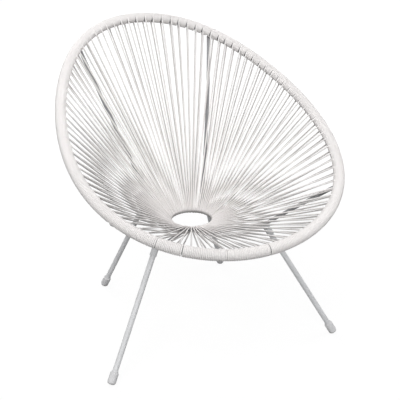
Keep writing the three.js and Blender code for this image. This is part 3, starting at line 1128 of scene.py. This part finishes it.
    def cap_base(self) -> Array:
        """Where the cap's own axis starts, so that its rounded edge, cut flat, stands on the floor.

        On a cap tilted with its leg, the edge's lowest point lies below the base by the flat's
        radius times the tilt's sine plus the edge's radius times one less its cosine.

        Returns:
            The point.
        """
        up = self.up()
        flat = (self.cap_radius - self.cap_edge) * math.sin(math.acos(up[2]))
        height = flat + self.cap_edge * (1 - up[2]) - self.sole_cut
        return self.foot() + up * height / up[2]

    def leg(self) -> bpy.types.Object:
        """The leg: a straight tube from inside the socket to inside the foot cap.

        Returns:
            The leg.
        """
        up, edge = self.up(), self.leg_edge
        start = self.cap_base() + up * (self.cap_floor + self.layout.fit)
        length = np.linalg.norm(self.joint() - up * self.leg_top_clear - start)
        inner = self.leg_radius - self.leg_wall
        height = np.linspace(edge, length - edge, self.leg_rows)
        profile = np.array([
            (inner + edge, 0), (self.leg_radius - edge, 0),
            *((self.leg_radius, h) for h in height),
            (self.leg_radius - edge, length), (inner + edge, length),
            *((inner, h) for h in height[::-1]),
        ])
        grid = turned(profile[::-1], start, up, self.sides)
        return grid_mesh(f"leg_tube_{self.suffix}", grid, rows_closed=True)

    def cap_profile(self) -> Array:
        """Outline of the foot cap, from the middle of its sole, up its side and down into its bore.

        Returns:
            Radius and height of each point, with the shape (n, 2).
        """
        fine = self.cap_fine
        bore = self.leg_radius + self.layout.fit
        collar = bore + self.cap_collar_wall
        top = self.cap_length + self.cap_collar
        flat = self.cap_radius - self.cap_edge
        shoulder = (self.cap_radius - self.cap_shoulder, self.cap_length - self.cap_shoulder)
        return np.concatenate([
            [(flat * share, 0.0) for share in (0.02, 0.4, 0.75)],
            arc((flat, self.cap_edge), self.cap_edge, -math.pi / 2, 10),
            [(self.cap_radius, self.cap_length * share) for share in (0.35, 0.5, 0.7)],
            arc(shoulder, self.cap_shoulder, 0.0, 7),
            [(collar + 4 * fine, self.cap_length + fine), (collar, self.cap_length + 6 * fine)],
            [(mix(bore, collar, 0.6), top - 3 * fine), (bore + 4 * fine, top), (bore, top - 3 * fine)],
            [(bore, self.cap_floor + 3 * fine), (bore * 0.9, self.cap_floor), (2 * fine, self.cap_floor)],
        ])

    def foot_cap(self) -> bpy.types.Object:
        """The foot cap: rounded edge, straight body, round shoulder and thin collar round the leg.

        Below the floor it is cut flat. A fine mould line runs up two sides, where a bell curve of
        the angle's sine lifts the body.

        Returns:
            The cap.
        """
        base, up, sides = self.cap_base(), self.up(), self.sides * 2
        grid = turned(self.cap_profile(), base, up, sides)
        high, wide = self.mould_line
        ridge = high * np.exp(-((np.sin(full_turn(sides)) / wide) ** 2))
        radial = grid - base - dot(grid - base, up) * up
        distance = np.linalg.norm(radial, axis=-1, keepdims=True)
        on_body = distance > self.cap_radius * self.body_from
        grid = grid + radial / distance * on_body * ridge[:, None]
        grid[..., 2] = np.maximum(grid[..., 2], 0.0)
        return grid_mesh(f"foot_{self.suffix}", grid)

    def build(self) -> None:
        """Makes the corner's four pieces in place of their solids."""
        for piece, node, slot, finish in (
                (self.rib(), "rib", Slot.PAINT, self.rib_paint),
                (self.socket(), "socket", Slot.PAINT, self.paint),
                (self.leg(), "leg", Slot.PAINT, self.paint),
                (self.foot_cap(), "foot_cap", Slot.FOOT, self.plastic)):
            dress(piece, finish, self.body, f"{node}_{self.suffix}")


# Studio


class Lamp(NamedTuple):
    """A square soft light: its name, its place, the length of its sides and its power in watts."""

    name: str
    place: Triple
    size: float
    power: float


@dataclass(frozen=True)
class Studio:
    """Plain pale floor, soft lights, white surroundings, and a camera where the photograph's stood."""

    camera_place: Triple = (-0.80257, -2.02644, 1.32906)
    yaw: float = 0.389906
    pitch: float = 0.426261
    roll: float = 0.003337
    focal_pixels: float = 877.105
    offset_pixels: tuple[float, float] = (-0.658, 0.174)
    image_pixels: float = 400.0
    sensor_width: float = 36.0
    clip: tuple[float, float] = (0.05, 100.0)
    lamps: tuple[Lamp, ...] = (
        Lamp("key_light", (-2.6, -2.8, 4.6), 2.4, 122.0),
        Lamp("front_light", (-1.0, -4.4, 1.7), 2.6, 128.0),
        Lamp("left_light", (-3.6, 0.9, 1.2), 2.4, 24.0),
        Lamp("right_light", (3.8, 0.5, 1.6), 2.4, 76.0),
        Lamp("top_light", (-0.2, 0.2, 3.6), 2.0, 40.0),
        Lamp("back_light", (-0.6, 3.6, 1.6), 2.4, 78.0),
    )
    lamp_aim: Triple = (0.0, 0.0, 0.4)
    sky: Ramp = Ramp(-0.25, 0.75, 0.01, 0.11)
    floor_size: float = 30.0
    floor_colour: Ramp = Ramp(0.0, 1.0, 0.06, 0.10)
    floor_glow: Ramp = Ramp(0.7, 1.9, 0.90, 1.0)

    def camera(self) -> None:
        """Sets the camera: yaw turns it from +Y towards +X, pitch down, and roll about its own axis."""
        data = bpy.data.cameras.new("photo_camera")
        data.sensor_width = self.sensor_width
        data.lens = self.focal_pixels * self.sensor_width / self.image_pixels
        data.shift_x = -self.offset_pixels[0] / self.image_pixels
        data.shift_y = self.offset_pixels[1] / self.image_pixels
        data.clip_start, data.clip_end = self.clip
        level = Matrix.Rotation(-self.yaw, 4, "Z") @ Matrix.Rotation(math.pi / 2 - self.pitch, 4, "X")
        turn = level @ Matrix.Rotation(self.roll, 4, "Z")
        camera = bpy.data.objects.new("photo_camera", data)
        camera.matrix_world = Matrix.Translation(self.camera_place) @ turn
        bpy.context.scene.collection.objects.link(camera)
        bpy.context.scene.camera = camera

    def lamp(self, lamp: Lamp) -> None:
        """Adds a soft light, turned towards the seat.

        Args:
            lamp: The light.
        """
        data = bpy.data.lights.new(lamp.name, "AREA")
        data.shape = "SQUARE"
        data.size = lamp.size
        data.energy = lamp.power
        light = bpy.data.objects.new(lamp.name, data)
        light.location = lamp.place
        aim = Vector(self.lamp_aim) - Vector(lamp.place)
        light.rotation_euler = aim.to_track_quat("-Z", "Y").to_euler()
        bpy.context.scene.collection.objects.link(light)

    def floor(self) -> None:
        """Lays a pale floor, whose own white shows to the camera and in glossy things.

        The white is a little less round the chair, so that the chair's shadow stays in it.
        """
        half = self.floor_size / 2
        mesh = bpy.data.meshes.new("studio_floor")
        mesh.from_pydata([(-half, -half, 0), (half, -half, 0), (half, half, 0), (-half, half, 0)], [],
                         [(0, 1, 2, 3)])
        floor = bpy.data.objects.new("studio_floor", mesh)
        bpy.context.scene.collection.objects.link(floor)
        material = bpy.data.materials.new("studio_floor_white")
        material.use_nodes = True
        work = NodeWork(material.node_tree)
        seen = work.seen()
        place = work.add("ShaderNodeTexCoord").outputs["Object"]
        away = work.add("ShaderNodeVectorMath", {0: place}, operation="LENGTH").outputs["Value"]
        shown = work.maths("MULTIPLY", work.spread(away, self.floor_glow), seen)
        glow = work.add("ShaderNodeEmission", {"Strength": shown})
        matt = work.add("ShaderNodeBsdfDiffuse", {"Color": work.spread(seen, self.floor_colour)})
        both = work.add("ShaderNodeAddShader", {0: matt.outputs[0], 1: glow.outputs[0]})
        work.add("ShaderNodeOutputMaterial", {"Surface": both.outputs[0]})
        mesh.materials.append(material)

    def surroundings(self) -> None:
        """Sets a white background, and a soft sky that is brighter overhead than below."""
        world = bpy.data.worlds.new("studio_surroundings")
        bpy.context.scene.world = world
        world.use_nodes = True
        work = NodeWork(world.node_tree)
        place = work.add("ShaderNodeTexCoord").outputs["Generated"]
        height = work.add("ShaderNodeSeparateXYZ", {"Vector": place}).outputs["Z"]
        strength = work.spread(work.seen(), Ramp(to_low=work.spread(height, self.sky)))
        white = work.add("ShaderNodeBackground", {"Color": (1.0, 1.0, 1.0), "Strength": strength})
        work.add("ShaderNodeOutputWorld", {"Surface": white.outputs[0]})

    def build(self) -> None:
        """Sets up the whole studio."""
        self.camera()
        for lamp in self.lamps:
            self.lamp(lamp)
        self.floor()
        self.surroundings()
        bpy.context.scene.view_settings.view_transform = "Standard"


def main() -> None:
    """Loads the frame, dresses it and sets up the studio."""
    logging.basicConfig(level=logging.INFO, format="%(name)s: %(message)s")
    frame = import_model()
    body = next(iter(frame["bodies"]))
    Studio().build()
    layout = SeatLayout()
    paint = PaintFinish().material()
    # Paint darkened as painted shade for the parts under the seat: the ribs, the hoop's tube and the
    # ring's rod
    under_seat_shade_paint = PaintFinish("frame_powder_coat_painted_shade", colour=(0.32, 0.32, 0.33),
                       worn=(0.23, 0.23, 0.23)).material()
    plastic = FootFinish().material()
    for name in ("hoop_tube", "ring_rod"):
        coat(frame["nodes"][name], under_seat_shade_paint)
        LOG.info("%s keeps its solid, painted", name)
    CordSeat(layout, CordFinish().material(), body).build()
    for pair in RIB_PAIRS:
        for side in Side:
            FrameCorner(layout, pair, side, paint, under_seat_shade_paint, plastic, body).build()


if __name__ == "__main__":
    main()
